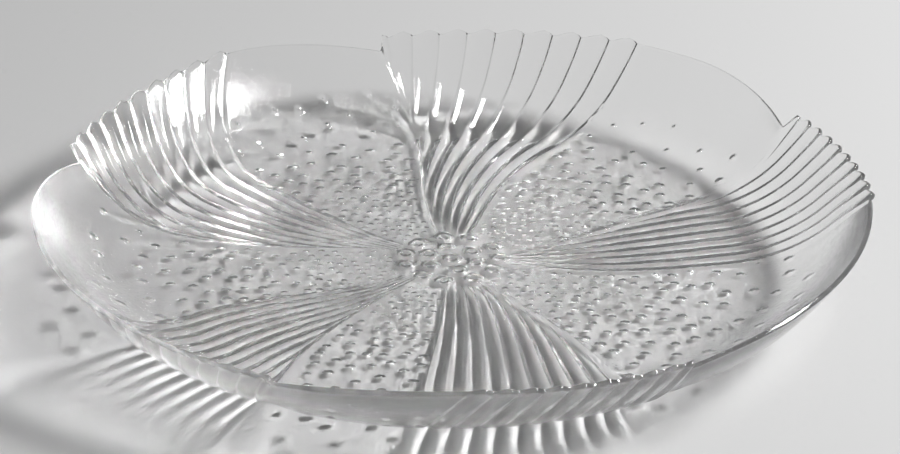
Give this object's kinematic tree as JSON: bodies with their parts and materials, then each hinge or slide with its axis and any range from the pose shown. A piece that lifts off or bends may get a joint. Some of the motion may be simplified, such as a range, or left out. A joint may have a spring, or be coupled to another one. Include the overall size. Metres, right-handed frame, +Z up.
{
  "type": "salad plate",
  "caption": "Round shallow salad plate pressed in clear glass, with fluted petal fans, plain petal panels and a scalloped, notched rim; stands flat and holds food.",
  "frame": {"origin": "centre of the flat underside, on the surface that the plate stands on", "axes": "+Z up, out of the dish; +Y towards the far side of the picture's view, +X to its right"},
  "size_m": [0.2008, 0.1999, 0.0234],
  "materials": {
    "clear_glass": "polished"
  },
  "bodies": {
    "root": {"glass_plate": "clear_glass"}
  },
  "joints": []
}
